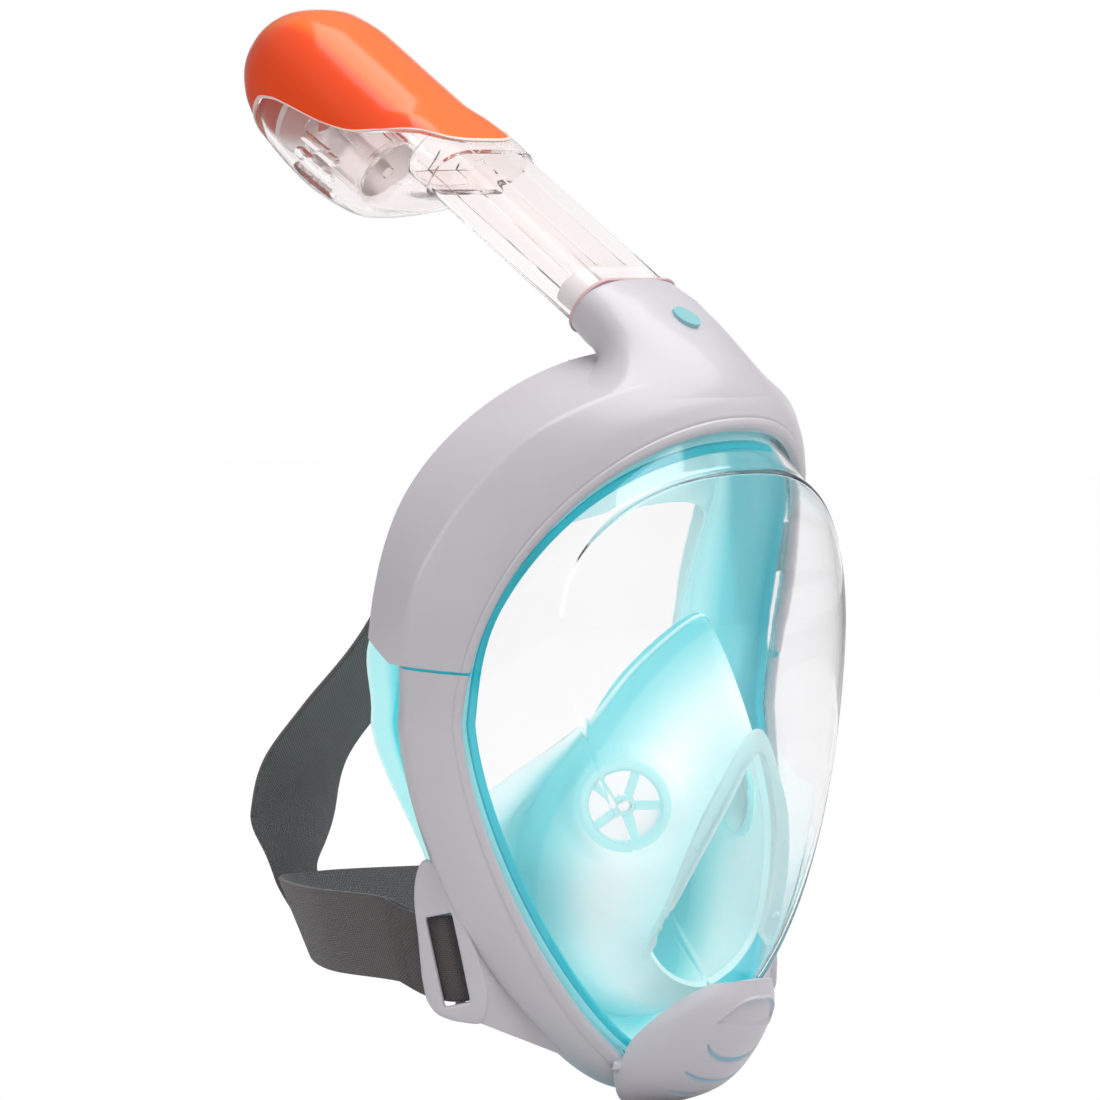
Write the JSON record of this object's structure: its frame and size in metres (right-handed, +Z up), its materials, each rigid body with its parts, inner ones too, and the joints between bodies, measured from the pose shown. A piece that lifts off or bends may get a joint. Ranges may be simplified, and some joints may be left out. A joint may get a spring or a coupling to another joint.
{
  "type": "full face snorkel mask",
  "caption": "Full face snorkel mask with a clear swept visor, soft face skirt, nose and mouth cup, one-way valves, pull-out dry-top snorkel and elastic head strap",
  "frame": {"origin": "middle of the face opening, on the face plane, level with the widest place of the rim", "axes": "-Y is the way the wearer looks, +Z is up, and the mirror plane of the mask is X = 0"},
  "size_m": [0.187, 0.1882, 0.3217],
  "materials": {
    "visor_clear": "clear moulded polycarbonate, polished",
    "frame_white": "satin lilac-white moulded plastic",
    "skirt_silicone": "soft turquoise silicone, satin",
    "cup_silicone": "soft pale turquoise silicone, slightly translucent",
    "clear_trim": "clear moulded plastic",
    "valve_seat_pale": "pale moulded plastic",
    "clear_flap": "thin clear silicone",
    "cover_pale": "frosted pale plastic",
    "inlay_teal": "plain coloured inlay",
    "seal_pink": "soft pale seal",
    "sleeve_grey": "satin grey plastic",
    "tube_clear": "clear extruded plastic",
    "inlet_clear": "clear moulded plastic",
    "cap_orange": "glossy orange moulded plastic",
    "float_white": "white foamed plastic",
    "gasket_dark": "dark soft rubber",
    "strap_webbing": "knitted elastic webbing, dark warm grey",
    "pin_plastic": "grey moulded plastic"
  },
  "bodies": {
    "mask": {"visor": "visor_clear", "upper_frame": "frame_white", "lower_frame": "frame_white", "face_skirt": "skirt_silicone", "orinasal_cup": "cup_silicone", "cup_rail": "clear_trim", "inhale_seat_left": "valve_seat_pale", "inhale_seat_right": "valve_seat_pale", "chin_valve_seat": "frame_white", "chin_cover": "cover_pale", "brow_inlay": "inlay_teal", "collar_seal": "seal_pink", "strap_lower": "strap_webbing", "strap_upper": "strap_webbing", "strap_pins": "pin_plastic", "strap_anchor": "frame_white"},
    "snorkel": {"tube_sleeve": "sleeve_grey", "snorkel_tube": "tube_clear", "inlet_shell": "inlet_clear", "top_cap": "cap_orange", "float_cage": "inlet_clear", "valve_seat": "frame_white"},
    "shutter": {"float": "float_white", "float_gasket": "gasket_dark"},
    "inhale_left": {"inhale_flap_left": "clear_flap"},
    "inhale_right": {"inhale_flap_right": "clear_flap"},
    "exhale": {"chin_valve_flap": "clear_flap"}
  },
  "joints": [
    {"name": "snorkel_pull", "type": "slide", "parent": "mask", "child": "snorkel", "axis": [0, 0.809, 0.5878], "range_m": [0, 0.03]},
    {"name": "float_slide", "type": "slide", "parent": "snorkel", "child": "shutter", "axis": [0, 0.809, 0.5878], "range_m": [0, 0.006]},
    {"name": "inhale_left_lift", "type": "slide", "parent": "mask", "child": "inhale_left", "axis": [0.7986, 0.6018, 0], "range_m": [0, 0.0012], "stiffness_N_per_m": 20},
    {"name": "inhale_right_lift", "type": "slide", "parent": "mask", "child": "inhale_right", "axis": [-0.7986, 0.6018, 0], "range_m": [0, 0.0012], "stiffness_N_per_m": 20},
    {"name": "exhale_lift", "type": "slide", "parent": "mask", "child": "exhale", "axis": [0, -0.733, -0.6803], "range_m": [0, 0.0012], "stiffness_N_per_m": 20}
  ]
}
